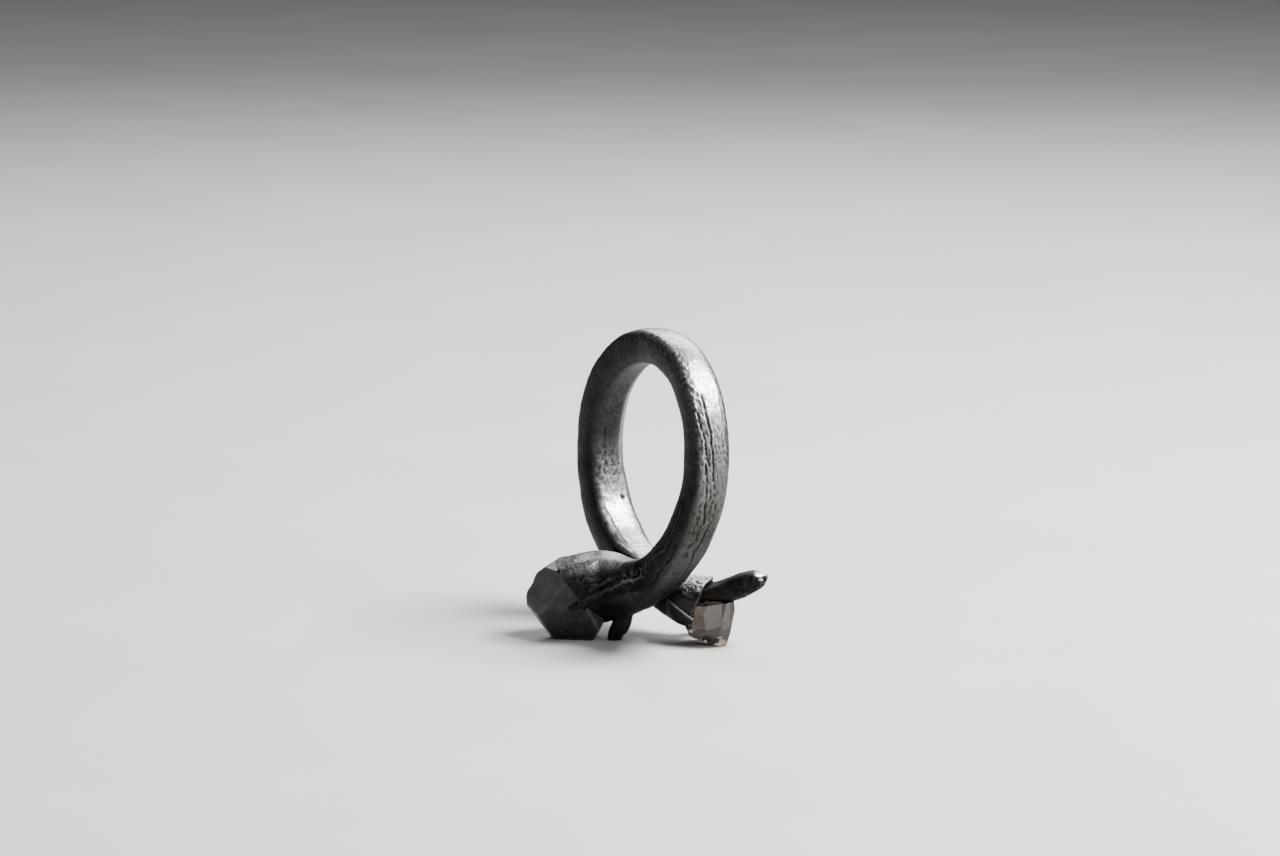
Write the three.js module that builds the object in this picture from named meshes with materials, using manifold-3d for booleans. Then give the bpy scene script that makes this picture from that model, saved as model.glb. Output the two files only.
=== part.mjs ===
// A handmade finger ring of blackened silver, in millimetres, +Z up.
//
// It is an open bypass ring: one square, bark-textured shank whose two ends
// pass side by side instead of meeting. One end swells into a hood that holds
// a large dark stone; the other ends in a sheath with a clear crystal, a lower
// petal, a rear stub and a long ragged leaf. It stands on its two stones with
// the shank arching above, the finger hole's axis level and along Y.
//
// The origin is the middle of the foot print, at the level of the resting
// surface (the bottom centre of the bounding box).
import * as THREE from "three";
import { ConvexGeometry } from "three/addons/geometries/ConvexGeometry.js";
import { mergeVertices } from "three/addons/utils/BufferGeometryUtils.js";
import Module from "manifold-3d";

const wasm = await Module();
wasm.setup();

// ---- driving dimensions (mm, degrees) --------------------------------------
const FINGER_BORE = 17.5; // inside diameter of the shank
const SHANK_THICK = 3.24; // radial thickness of the shank
const SHANK_WIDE = 3.56; // width of the shank along the finger
const SHANK_CRISP = 5.0; // 2 is an oval section, large values are a sharp rectangle
const HUB_Z = 15.62; // height of the finger hole's centre over the resting surface
const SETTING_TURN = 62; // angle about Z from X to the line through both settings
const JOINT_GAP = 0.05; // solder line between two metal pieces
const SEAT_GAP = 0.05; // clearance between a stone and its metal
const R_MID = (FINGER_BORE + SHANK_THICK) / 2;
const RING_STEPS = 4; // loft rings between two stations
const SECTION_POINTS = 28;

// ---- placing ---------------------------------------------------------------
const turn = THREE.MathUtils.degToRad(SETTING_TURN);
const CU = Math.cos(turn);
const SU = Math.sin(turn);
// A point in the setting frame: u along the line through both settings, from
// the dark stone to the crystal, w level and square to it, z up.
const at = (u, w, z) => [CU * u + SU * w, SU * u - CU * w, z];
// A point on the shank's circle: t degrees from the top, towards +X, y sideways.
const onRing = (t, y, r = R_MID) => {
  const a = THREE.MathUtils.degToRad(t);
  return [r * Math.sin(a), y, HUB_Z + r * Math.cos(a)];
};

// ---- section: a rounded polygon of eight faces ------------------------------
// angles (degrees) run from the outward normal towards the binormal, and each
// face has its distance from the centre line.
const FACE_ANGLES = [0, 45, 90, 135, 180, 225, 270, 315];
const station = (p, dist, crisp = SHANK_CRISP, turnOf = {}, roll = 0) => ({
  p,
  dist,
  crisp,
  angles: FACE_ANGLES.map((a, i) => (turnOf[i] ?? a) + roll),
});
const bar = (p, a = SHANK_THICK / 2, b = SHANK_WIDE / 2, crisp = SHANK_CRISP, roll = 0) => {
  const c = Math.hypot(a, b) * 0.97;
  return station(p, [a, c, b, c, a, c, b, c], crisp, {}, roll);
};
const flat = (s) => [...s.p, ...s.dist, s.crisp, ...s.angles];

function catmull(rows, steps) {
  const out = [];
  const mix = (p0, p1, p2, p3, t) =>
    p1.map(
      (v, i) =>
        0.5 *
        (2 * v +
          (p2[i] - p0[i]) * t +
          (2 * p0[i] - 5 * v + 4 * p2[i] - p3[i]) * t * t +
          (3 * v - p0[i] - 3 * p2[i] + p3[i]) * t * t * t),
    );
  for (let i = 0; i < rows.length - 1; i++) {
    const p1 = rows[i],
      p2 = rows[i + 1];
    const p0 = rows[i - 1] ?? p1.map((v, k) => 2 * v - p2[k]);
    const p3 = rows[i + 2] ?? p2.map((v, k) => 2 * v - p1[k]);
    for (let j = 0; j < steps; j++) out.push(mix(p0, p1, p2, p3, j / steps));
  }
  out.push([...rows[rows.length - 1]]);
  return out;
}

// Sweeps the sections along the stations. The section's first direction points
// away from the finger hole's axis, unless `up` fixes it.
function sweep(stations, { steps = RING_STEPS, points = SECTION_POINTS, grow = 0, up = null } = {}) {
  const rows = catmull(stations.map(flat), steps);
  const centre = rows.map((r) => new THREE.Vector3(r[0], r[1], r[2]));
  const pos = [];
  rows.forEach((r, k) => {
    const a = centre[Math.max(k - 1, 0)],
      b = centre[Math.min(k + 1, rows.length - 1)];
    const T = new THREE.Vector3().subVectors(b, a).normalize();
    const out = up
      ? new THREE.Vector3(...up)
      : new THREE.Vector3(centre[k].x, 0, centre[k].z - HUB_Z);
    const N = out.addScaledVector(T, -out.dot(T)).normalize();
    const B = new THREE.Vector3().crossVectors(T, N);
    const dist = r.slice(3, 11),
      crisp = r[11],
      angles = r.slice(12, 20);
    for (let j = 0; j < points; j++) {
      const f = (2 * Math.PI * j) / points;
      let s = 0;
      for (let i = 0; i < 8; i++) {
        const c = Math.cos(f - THREE.MathUtils.degToRad(angles[i]));
        if (c > 0) s += Math.pow(c / (dist[i] + grow), crisp);
      }
      const rad = Math.pow(s, -1 / crisp);
      pos.push(
        centre[k]
          .clone()
          .addScaledVector(N, rad * Math.cos(f))
          .addScaledVector(B, rad * Math.sin(f)),
      );
    }
  });
  const n = rows.length,
    m = points,
    idx = [];
  for (let i = 0; i < n - 1; i++)
    for (let j = 0; j < m; j++) {
      const a = i * m + j,
        b = i * m + ((j + 1) % m),
        c = (i + 1) * m + ((j + 1) % m),
        d = (i + 1) * m + j;
      idx.push(a, b, c, a, c, d);
    }
  const first = pos.length;
  pos.push(centre[0].clone(), centre[n - 1].clone());
  for (let j = 0; j < m; j++) {
    idx.push(first, (j + 1) % m, j);
    idx.push(first + 1, (n - 1) * m + j, (n - 1) * m + ((j + 1) % m));
  }
  const g = new THREE.BufferGeometry().setFromPoints(pos);
  g.setIndex(idx);
  return g;
}

// ---- cut stones: the body inside a set of planes ----------------------------
// Each plane is [nu, nw, nz, distance from the centre], in the setting frame.
function gem(centre, planes, grow = 0) {
  const P = planes.map(([u, w, z, d]) => {
    const l = Math.hypot(u, w, z);
    return { n: new THREE.Vector3(u / l, w / l, z / l), d: d + grow };
  });
  const pts = [];
  for (let i = 0; i < P.length; i++)
    for (let j = i + 1; j < P.length; j++)
      for (let k = j + 1; k < P.length; k++) {
        const jk = new THREE.Vector3().crossVectors(P[j].n, P[k].n);
        const det = P[i].n.dot(jk);
        if (Math.abs(det) < 1e-6) continue;
        const v = jk
          .multiplyScalar(P[i].d)
          .addScaledVector(new THREE.Vector3().crossVectors(P[k].n, P[i].n), P[j].d)
          .addScaledVector(new THREE.Vector3().crossVectors(P[i].n, P[j].n), P[k].d)
          .divideScalar(det);
        if (P.every((q) => q.n.dot(v) <= q.d + 1e-7)) pts.push(v);
      }
  return new ConvexGeometry(
    pts.map((v) => new THREE.Vector3(...at(centre[0] + v.x, centre[1] + v.y, centre[2] + v.z))),
  );
}

// ---- solids ------------------------------------------------------------------
function solid(geometry) {
  let g = geometry.clone();
  g.deleteAttribute("normal");
  g.deleteAttribute("uv");
  g = mergeVertices(g, 1e-4);
  const s = new wasm.Manifold(
    new wasm.Mesh({
      numProp: 3,
      vertProperties: new Float32Array(g.attributes.position.array),
      triVerts: new Uint32Array(g.index.array),
    }),
  );
  if (s.volume() > 0) return s;
  const t = new Uint32Array(g.index.array);
  for (let i = 0; i < t.length; i += 3) [t[i + 1], t[i + 2]] = [t[i + 2], t[i + 1]];
  return new wasm.Manifold(
    new wasm.Mesh({ numProp: 3, vertProperties: new Float32Array(g.attributes.position.array), triVerts: t }),
  );
}
// The half space u*nu + w*nw + z*nz > d of the setting frame, as a large block.
function beyond(nu, nw, nz, d) {
  const n = new THREE.Vector3(...at(nu, nw, nz));
  n.z = nz;
  n.normalize();
  const l = Math.hypot(nu, nw, nz);
  const side = 80;
  const g = new THREE.BoxGeometry(side, side, side);
  g.translate(0, 0, side / 2);
  g.applyQuaternion(new THREE.Quaternion().setFromUnitVectors(new THREE.Vector3(0, 0, 1), n));
  g.translate(...n.clone().multiplyScalar(d / l).toArray());
  return solid(g);
}
function toGeometry(s) {
  const m = s.getMesh();
  const v = new Float32Array(m.numVert * 3);
  for (let i = 0; i < m.numVert; i++)
    v.set(m.vertProperties.subarray(i * m.numProp, i * m.numProp + 3), i * 3);
  const g = new THREE.BufferGeometry();
  g.setAttribute("position", new THREE.BufferAttribute(v, 3));
  g.setIndex(new THREE.BufferAttribute(new Uint32Array(m.triVerts), 1));
  g.computeVertexNormals();
  return g;
}
// ---- stones --------------------------------------------------------------------
const STONE_CENTRE = [-8.1, 1.5, 3.55];
const STONE_PLANES = [
  [0, 0, -1, 3.55], // resting facet
  [-0.654, 0.678, 0.335, 2.29], // large polished facet, outer front
  [-0.079, 0.989, -0.122, 2.43], // front
  [-0.1, 0.93, -0.35, 2.4], // front, under
  [-0.78, 0.25, -0.57, 2.8], // outer, under
  [-0.99, -0.1, 0.05, 3.14], // outer
  [-0.86, -0.2, 0.44, 2.96], // outer, over
  [-0.56, -0.2, 0.79, 3.1], // shoulder
  [0, 0.1, 0.99, 2.95], // top
  [-0.2, -0.97, 0.1, 2.9], // back
  [-0.75, -0.62, 0.2, 2.95], // outer back
  [-0.2, -0.82, -0.5, 2.8], // back, under
  [-0.6, -0.5, -0.6, 2.75], // outer back, under
  [0.1, 0.75, 0.65, 3.3], // front, over
  [1, 0, 0, 3.7], // seat
  [0.866, 0, -0.5, 4.24], // seat, under
  [0.7, 0.7, 0.1, 3.45], // seat, front
  [0.7, -0.7, 0, 3.3], // seat, back
  [0.7, 0, 0.7, 3.0], // seat, over
];
const CRYSTAL_CENTRE = [5.2, 4.3, 2.6];
const CRYSTAL_PLANES = [
  [0, 0, -1, 2.6], // worn resting tip
  [-0.32, 0, -0.947, 2.27], // broad face of the tip
  [0.949, 0, -0.316, 1.96], // narrow face of the tip
  [0.982, 0, -0.189, 1.84], // prism faces
  [0.985, -0.15, 0.1, 1.9],
  [-0.985, 0, -0.12, 2.62],
  [-0.897, 0, -0.441, 2.55], // outer face, under the collar
  [0.1, 0.99, 0.05, 1.75],
  [-0.66, 0.74, -0.05, 1.88],
  [0.64, 0.76, -0.1, 1.85],
  [0.05, 0.8, -0.6, 2.15],
  [-0.1, -0.99, 0, 1.75],
  [-0.62, -0.78, 0, 1.9],
  [0.62, -0.78, 0, 1.9],
  [0.05, -0.85, -0.52, 2.2],
  [-0.1, 0, 0.995, 1.3], // broken root, under the leaf
];

// ---- metal stations --------------------------------------------------------------
const HOOD_NECK = [[2.6, 2.9, 2.2, 2.7, 2.3, 2.75, 2.1, 2.5], 5, { 6: 262, 7: 308 }];
const SHANK = [
  station(at(-1.7, 3.3, 5.2), ...HOOD_NECK),
  station(at(-0.7, 4.2, 5.75), [2.35, 2.75, 1.95, 2.4, 2.0, 2.45, 1.9, 2.5], 5, { 6: 266, 7: 311 }),
  bar(at(0.3, 5.05, 6.35), 1.9, 1.9),
  bar(onRing(135, -2.0), 1.75, 1.9),
  bar(onRing(115, -1.3), 1.66, 1.92),
  bar(onRing(90, -0.44), 1.62, 1.92),
  bar(onRing(60, 0.25), 1.6, 1.9),
  bar(onRing(30, 0.7, R_MID - 0.05), 1.6, 1.85),
  bar(onRing(0, 0.75, R_MID - 0.18), 1.6, 1.75),
  bar(onRing(-30, 0.6, R_MID - 0.1), 1.62, 1.85),
  bar(onRing(-60, 0.3), 1.64, 1.98),
  bar(onRing(-90, 0.1), 1.66, 2.02),
  bar(onRing(-120, 0.0), 1.72, 2.15),
  bar(onRing(-143, -0.03, 10.33), 1.82, 2.15),
  bar(onRing(-160, -0.1, 10.24), 1.84, 1.98),
  bar(at(-0.2, -0.3, 5.12), 1.78, 1.75),
  bar(at(1.6, 1.15, 3.85), 1.8, 1.65),
];
const HOOD = [
  station(at(-9.8, 1.5, 3.8), [3.5, 3.6, 3.2, 3.6, 2.65, 3.6, 3.0, 3.0], 7, { 4: 187, 6: 260, 7: 311 }, -14),
  station(at(-7.2, 1.55, 4.1), [3.4, 3.6, 3.2, 3.6, 2.84, 3.6, 3.0, 2.92], 7, { 4: 187, 6: 260, 7: 311 }, -9),
  station(at(-5.6, 1.6, 4.35), [3.25, 3.5, 3.15, 3.6, 3.0, 3.5, 2.9, 2.6], 7, { 4: 187, 6: 255, 7: 306 }, -5),
  station(at(-4.2, 1.75, 4.55), [3.12, 3.35, 3.0, 3.5, 3.05, 3.4, 2.8, 2.35], 7, { 4: 187, 6: 250, 7: 302 }, -2),
  station(at(-2.9, 2.45, 4.8), [2.9, 3.1, 2.65, 3.2, 2.75, 3.2, 2.5, 2.4], 6, { 4: 185, 6: 255, 7: 305 }),
  station(at(-1.7 - JOINT_GAP, 3.3 - JOINT_GAP, 5.2), ...HOOD_NECK),
];
const COLLAR = [
  bar(at(1.6 + JOINT_GAP, 1.15 + JOINT_GAP, 3.85), 1.8, 1.65),
  bar(at(2.5, 2.0, 3.65), 2.0, 1.95, 4, 6),
  bar(at(3.5, 3.0, 3.7), 2.15, 2.3, 4, 14),
  bar(at(5.4, 4.2, 3.7), 2.2, 2.4, 4, 20),
];
const COLLAR_MOUTH = [1, 0.272, -0.381, 3.909];
const LEAF = [
  bar(at(3.4, 3.2, 4.75), 0.75, 1.9, 4),
  bar(at(5.2, 3.9, 4.7), 0.72, 1.85, 4),
  bar(at(7.0, 4.35, 5.02), 1.1, 1.6, 4),
  bar(at(8.5, 4.8, 5.72), 1.05, 1.3, 4),
  bar(at(9.2, 5.05, 6.0), 0.88, 1.0, 4),
  bar(at(9.65, 5.15, 6.22), 0.52, 0.66, 3),
  bar(at(10.0, 5.3, 6.47), 0.22, 0.3, 2.5),
];
const FOOT = [
  bar(at(-2.6, 2.3, 2.6), 0.95, 1.1, 4),
  bar(at(-2.8, 2.25, 1.4), 0.85, 1.0, 4),
  bar(at(-3.3, 2.2, 0.5), 0.68, 0.9, 4),
  bar(at(-3.4, 2.2, -0.4), 0.66, 0.85, 4),
];
const REAR_STUB = [
  bar(at(3.3, 1.7, 2.9), 0.8, 0.8, 4),
  bar(at(3.7, 1.0, 1.5), 0.72, 0.75, 4),
  bar(at(3.95, 0.75, 0.5), 0.6, 0.65, 4),
  bar(at(4.0, 0.72, -0.4), 0.55, 0.6, 4),
];
const CLAW_FRONT = [
  bar(at(-5.4, 4.75, 3.9), 0.5, 0.5, 3),
  bar(at(-6.2, 4.75, 3.45), 0.48, 0.5, 3),
  bar(at(-7.0, 4.45, 3.0), 0.42, 0.5, 3),
  bar(at(-7.55, 4.15, 2.75), 0.25, 0.3, 2.5),
];
const CLAW_REAR = [
  bar(at(-5.6, -1.55, 4.1), 0.5, 0.5, 3),
  bar(at(-6.8, -1.75, 3.6), 0.5, 0.5, 3),
  bar(at(-8.0, -1.6, 3.1), 0.45, 0.5, 3),
  bar(at(-8.8, -1.15, 2.8), 0.25, 0.3, 2.5),
];

// ---- building ----------------------------------------------------------------------
const stone = solid(gem(STONE_CENTRE, STONE_PLANES));
const stoneRoom = solid(gem(STONE_CENTRE, STONE_PLANES, SEAT_GAP));
const crystal = solid(gem(CRYSTAL_CENTRE, CRYSTAL_PLANES));
const crystalRoom = solid(gem(CRYSTAL_CENTRE, CRYSTAL_PLANES, SEAT_GAP));

const largest = (s) => s.decompose().sort((a, b) => b.volume() - a.volume())[0];
const shank = solid(sweep(SHANK));
const shankRoom = solid(sweep(SHANK, { grow: JOINT_GAP }));
const hoodWhole = solid(sweep(HOOD));
const hoodRoom = solid(sweep(HOOD, { grow: JOINT_GAP })).subtract(beyond(-0.86, 0, -0.51, 3.9 + JOINT_GAP));
const hood = largest(
  hoodWhole.subtract(beyond(-0.86, 0, -0.51, 3.9)).subtract(stoneRoom).subtract(shankRoom),
);
const [mu, mw, mz, md] = COLLAR_MOUTH;
const collarRoom = solid(sweep(COLLAR, { grow: JOINT_GAP })).subtract(beyond(mu, mw, mz, md + JOINT_GAP));
const collar = largest(
  solid(sweep(COLLAR)).subtract(beyond(mu, mw, mz, md)).subtract(crystalRoom).subtract(shankRoom),
);
const small = { points: 16, steps: 3 };
const level = [0, 0, -1];
const along = [CU, SU, 0];
const leaf = largest(
  solid(sweep(LEAF, { points: 24, steps: 4, up: level })).subtract(collarRoom).subtract(crystalRoom),
);
const petal = largest(
  solid(sweep(COLLAR, { grow: 0.28 }))
    .subtract(collarRoom)
    .subtract(beyond(0.645, 0, 1, 4.91)) // rim, falling towards the crystal
    .subtract(beyond(1, -1, 0, 0.5)) // ends under the collar
    .subtract(beyond(1, 0, 0, 3.95))
    .subtract(beyond(mu, mw, mz, md + 0.3))
    .subtract(beyond(-1, 0, 0, -1.75))
    .subtract(crystalRoom),
);
const underGround = beyond(0, 0, -1, 0);
const rearStub = largest(
  solid(sweep(REAR_STUB, { ...small, up: along }))
    .subtract(underGround)
    .subtract(collarRoom)
    .subtract(crystalRoom)
    .subtract(petal),
);
const foot = largest(
  solid(sweep(FOOT, { ...small, up: along })).subtract(underGround).subtract(hoodRoom).subtract(stoneRoom),
);
const clawFront = largest(solid(sweep(CLAW_FRONT, { ...small, up: level })).subtract(hoodRoom).subtract(stoneRoom));
const clawRear = largest(solid(sweep(CLAW_REAR, { ...small, up: level })).subtract(hoodRoom).subtract(stoneRoom));

const METAL = { color: 0x1c1c1b, roughness: 0.42, metalness: 1 };
const group = new THREE.Group();
function add(name, s, material = METAL) {
  const mesh = new THREE.Mesh(toGeometry(s), new THREE.MeshStandardMaterial(material));
  mesh.name = name;
  group.add(mesh);
}
add("shank", shank);
add("stone_cup", hood);
add("cup_claw_front", clawFront);
add("cup_claw_rear", clawRear);
add("cup_foot_claw", foot);
add("dark_stone", stone, { color: 0x242523, roughness: 0.3, metalness: 0 });
add("crystal_collar", collar);
add("crystal_petal_lower", petal);
add("crystal_petal_rear", rearStub);
add("leaf_tongue", leaf);
add("clear_crystal", crystal, { color: 0x8f867f, roughness: 0.05, metalness: 0 });

// The foot print's middle goes to the origin.
const box = new THREE.Box3().setFromObject(group);
group.position.set(-(box.min.x + box.max.x) / 2, -(box.min.y + box.max.y) / 2, -box.min.z);

export default group;
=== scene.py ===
"""A handmade blackened-silver bypass ring with a dark stone and a clear crystal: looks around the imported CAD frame."""

import math

import bmesh
import bpy
import numpy as np
from mathutils import Matrix, Vector


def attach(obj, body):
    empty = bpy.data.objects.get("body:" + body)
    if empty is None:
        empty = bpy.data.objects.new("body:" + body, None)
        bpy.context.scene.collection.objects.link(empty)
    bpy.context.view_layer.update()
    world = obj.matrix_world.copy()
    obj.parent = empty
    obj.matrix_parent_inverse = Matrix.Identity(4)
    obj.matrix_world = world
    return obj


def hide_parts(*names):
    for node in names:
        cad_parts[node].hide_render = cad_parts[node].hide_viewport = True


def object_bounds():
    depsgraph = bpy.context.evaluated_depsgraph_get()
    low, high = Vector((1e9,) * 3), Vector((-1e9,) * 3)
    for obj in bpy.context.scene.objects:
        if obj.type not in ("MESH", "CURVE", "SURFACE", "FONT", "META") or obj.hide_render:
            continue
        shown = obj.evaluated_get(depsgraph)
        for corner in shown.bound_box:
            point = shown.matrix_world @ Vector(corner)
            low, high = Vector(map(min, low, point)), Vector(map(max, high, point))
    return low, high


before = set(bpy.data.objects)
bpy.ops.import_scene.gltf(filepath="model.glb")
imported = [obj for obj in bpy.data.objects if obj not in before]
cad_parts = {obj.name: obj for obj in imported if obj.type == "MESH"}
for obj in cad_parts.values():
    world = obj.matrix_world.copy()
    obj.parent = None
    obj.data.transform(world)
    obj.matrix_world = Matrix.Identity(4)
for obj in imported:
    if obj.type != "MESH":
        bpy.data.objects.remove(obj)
CAD_BOX = [list(v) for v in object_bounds()]
MM = 0.001

# ---- geometry core (mm, row frame) ----

OFF = np.array([0.02067, 2.15455, 0.0])
HUB_Z = 15.62
TURN = math.radians(62)
CU, SU = math.cos(TURN), math.sin(TURN)
R_MID = (17.5 + 3.24) / 2
FACES = np.arange(8) * 45.0


def at(u, w, z):
    return [CU * u + SU * w, SU * u - CU * w, z]


def on_ring(t, y, r=R_MID):
    a = math.radians(t)
    return [r * math.sin(a), y, HUB_Z + r * math.cos(a)]


def station(p, dist, crisp=5.0, turned=None, roll=0.0):
    a = FACES.copy()
    for i, v in (turned or {}).items():
        a[i] = v
    return list(p) + list(dist) + [crisp] + list(a + roll)


def bar(p, a=1.62, b=1.78, crisp=5.0, roll=0.0):
    c = math.hypot(a, b) * 0.97
    return station(p, [a, c, b, c, a, c, b, c], crisp, None, roll)


NECK = ([2.6, 2.9, 2.2, 2.7, 2.3, 2.75, 2.1, 2.5], 5, {6: 262, 7: 308})
GAP = 0.05
SHANK = [
    station(at(-1.7, 3.3, 5.2), *NECK),
    station(at(-0.7, 4.2, 5.75), [2.35, 2.75, 1.95, 2.4, 2.0, 2.45, 1.9, 2.5], 5, {6: 266, 7: 311}),
    bar(at(0.3, 5.05, 6.35), 1.9, 1.9),
    bar(on_ring(135, -2.0), 1.75, 1.9),
    bar(on_ring(115, -1.3), 1.66, 1.92),
    bar(on_ring(90, -0.44), 1.62, 1.92),
    bar(on_ring(60, 0.25), 1.6, 1.9),
    bar(on_ring(30, 0.7, R_MID - 0.05), 1.6, 1.85),
    bar(on_ring(0, 0.75, R_MID - 0.18), 1.6, 1.75),
    bar(on_ring(-30, 0.6, R_MID - 0.1), 1.62, 1.85),
    bar(on_ring(-60, 0.3), 1.64, 1.98),
    bar(on_ring(-90, 0.1), 1.66, 2.02),
    bar(on_ring(-120, 0.0), 1.72, 2.15),
    bar(on_ring(-143, -0.03, 10.33), 1.82, 2.15),
    bar(on_ring(-160, -0.1, 10.24), 1.84, 1.98),
    bar(at(-0.2, -0.3, 5.12), 1.78, 1.75),
    bar(at(1.6, 1.15, 3.85), 1.8, 1.65),
]


def catmull(rows, steps):
    c = np.array(rows, float)
    out = []
    n = len(c)
    t = (np.arange(steps) / steps)[:, None]
    for i in range(n - 1):
        p1, p2 = c[i], c[i + 1]
        p0 = c[i - 1] if i > 0 else 2 * p1 - p2
        p3 = c[i + 2] if i + 2 < n else 2 * p2 - p1
        out.append(0.5 * (2 * p1 + (p2 - p0) * t + (2 * p0 - 5 * p1 + 4 * p2 - p3) * t * t + (3 * p1 - p0 - 3 * p2 + p3) * t ** 3))
    out.append(c[-1:])
    return np.vstack(out)


def sweep_grid(stations, pitch, points, up=None, fine=240):
    """Rings of points (n, m, 3), with each ring's station number k, arc length s and each point's angle."""
    rows = catmull(stations, fine)
    d = np.r_[0, np.cumsum(np.linalg.norm(np.diff(rows[:, :3], axis=0), axis=1))]
    n = max(int(d[-1] / pitch), 4)
    s = np.linspace(0, d[-1], n + 1)
    kk = np.interp(s, d, np.arange(len(rows)) / fine)
    rows = np.stack([np.interp(s, d, rows[:, i]) for i in range(rows.shape[1])], 1)
    C = rows[:, :3]
    T = np.gradient(C, axis=0)
    T /= np.linalg.norm(T, axis=1)[:, None]
    out = np.tile(np.array(up, float), (len(C), 1)) if up is not None else np.stack([C[:, 0], 0 * C[:, 0], C[:, 2] - HUB_Z], 1)
    N = out - (out * T).sum(1)[:, None] * T
    N /= np.linalg.norm(N, axis=1)[:, None]
    B = np.cross(T, N)
    f = np.linspace(0, 2 * math.pi, points, endpoint=False)
    cosd = np.cos(f[None, :, None] - np.radians(rows[:, 12:20])[:, None, :])
    cosd = np.clip(cosd, 0, None)
    acc = ((cosd / rows[:, 3:11][:, None, :]) ** rows[:, 11][:, None, None]).sum(2)
    rad = acc ** (-1 / rows[:, 11][:, None])
    P = C[:, None] + (rad * np.cos(f))[..., None] * N[:, None] + (rad * np.sin(f))[..., None] * B[:, None]
    return P, kk, s, np.degrees(f), rad, (C, T, N, B)


def grid_normals(P):
    du = np.gradient(P, axis=0)
    dv = (np.roll(P, -1, 1) - np.roll(P, 1, 1)) / 2
    n = np.cross(dv, du)
    n /= np.linalg.norm(n, axis=2)[..., None] + 1e-12
    return n

# ---- noise (numpy, seeded) ----
_G = np.array([[1, 1, 0], [-1, 1, 0], [1, -1, 0], [-1, -1, 0], [1, 0, 1], [-1, 0, 1], [1, 0, -1], [-1, 0, -1],
               [0, 1, 1], [0, -1, 1], [0, 1, -1], [0, -1, -1], [1, 1, 0], [-1, 1, 0], [0, -1, 1], [0, -1, -1]], float)


def _hash(x, y, z, seed):
    h = (x * 374761393 + y * 668265263 + z * 2147483647 + seed * 1274126177) & 0xFFFFFFFF
    h = ((h ^ (h >> 13)) * 1274126177) & 0xFFFFFFFF
    h = ((h ^ (h >> 16)) * 2246822519) & 0xFFFFFFFF
    return h ^ (h >> 15)


def pnoise(p, seed=0):
    i = np.floor(p).astype(np.int64)
    f = p - i
    u = f * f * f * (f * (f * 6 - 15) + 10)
    out = 0
    for dx in (0, 1):
        wx = u[:, 0] if dx else 1 - u[:, 0]
        for dy in (0, 1):
            wy = u[:, 1] if dy else 1 - u[:, 1]
            for dz in (0, 1):
                wz = u[:, 2] if dz else 1 - u[:, 2]
                g = _G[_hash(i[:, 0] + dx, i[:, 1] + dy, i[:, 2] + dz, seed) & 15]
                d = (g * (f - np.array([dx, dy, dz]))).sum(1)
                out = out + wx * wy * wz * d
    return out


def fbm(p, octaves=4, gain=0.5, seed=0):
    a, s, out = 1.0, 0.0, 0
    for o in range(octaves):
        out = out + a * pnoise(p * 2.03 ** o + 17.3 * o, seed + o)
        s += a
        a *= gain
    return out / s


def ridged(p, octaves=3, gain=0.5, seed=0):
    """0 on the flats, towards 1 along thin lines."""
    a, s, out = 1.0, 0.0, 0
    for o in range(octaves):
        out = out + a * (1 - np.clip(np.abs(pnoise(p * 2.03 ** o + 9.1 * o, seed + o)) * 2.6, 0, 1)) ** 2.2
        s += a
        a *= gain
    return out / s


def smooth01(x, lo, hi):
    t = np.clip((x - lo) / (hi - lo), 0, 1)
    return t * t * (3 - 2 * t)


def bump_at(x, centre, half):
    return np.exp(-((x - centre) / half) ** 2)


# ---- meshes (mm in, metres out) ----
def new_mesh(name, verts, faces):
    me = bpy.data.meshes.new(name)
    verts = np.asarray(verts, np.float32).reshape(-1, 3)
    faces = np.asarray(faces, np.int32)
    me.vertices.add(len(verts))
    me.vertices.foreach_set("co", verts.ravel())
    n, k = faces.shape
    me.loops.add(n * k)
    me.loops.foreach_set("vertex_index", faces.ravel())
    me.polygons.add(n)
    me.polygons.foreach_set("loop_start", np.arange(0, n * k, k, dtype=np.int32))
    me.update(calc_edges=True)
    me.validate()
    return me


def link(name, me):
    o = bpy.data.objects.new(name, me)
    bpy.context.scene.collection.objects.link(o)
    return o


def coords(me):
    co = np.zeros(len(me.vertices) * 3)
    me.vertices.foreach_get("co", co)
    return co.reshape(-1, 3)


def set_coords(me, co):
    me.vertices.foreach_set("co", np.asarray(co, np.float32).ravel())
    me.update()


def normals(me):
    n = np.zeros(len(me.vertices) * 3)
    me.vertices.foreach_get("normal", n)
    return n.reshape(-1, 3)


def edges_of(me):
    e = np.zeros(len(me.edges) * 2, np.int32)
    me.edges.foreach_get("vertices", e)
    return e.reshape(-1, 2)


def neighbour_mean(v, e, deg):
    acc = np.zeros_like(v)
    if v.ndim == 1:
        acc += np.bincount(e[:, 0], v[e[:, 1]], len(v)) + np.bincount(e[:, 1], v[e[:, 0]], len(v))
        return acc / deg
    for c in range(v.shape[1]):
        acc[:, c] = np.bincount(e[:, 0], v[e[:, 1], c], len(v)) + np.bincount(e[:, 1], v[e[:, 0], c], len(v))
    return acc / deg[:, None]


def relax(me, times, amount=0.5, where=None):
    """Smooths the mesh; where is a share for each vertex."""
    co, e = coords(me), edges_of(me)
    deg = np.maximum(np.bincount(e.ravel(), minlength=len(co)), 1)
    share = amount if where is None else amount * where[:, None]
    for _ in range(times):
        co = co + share * (neighbour_mean(co, e, deg) - co)
    set_coords(me, co)


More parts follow.
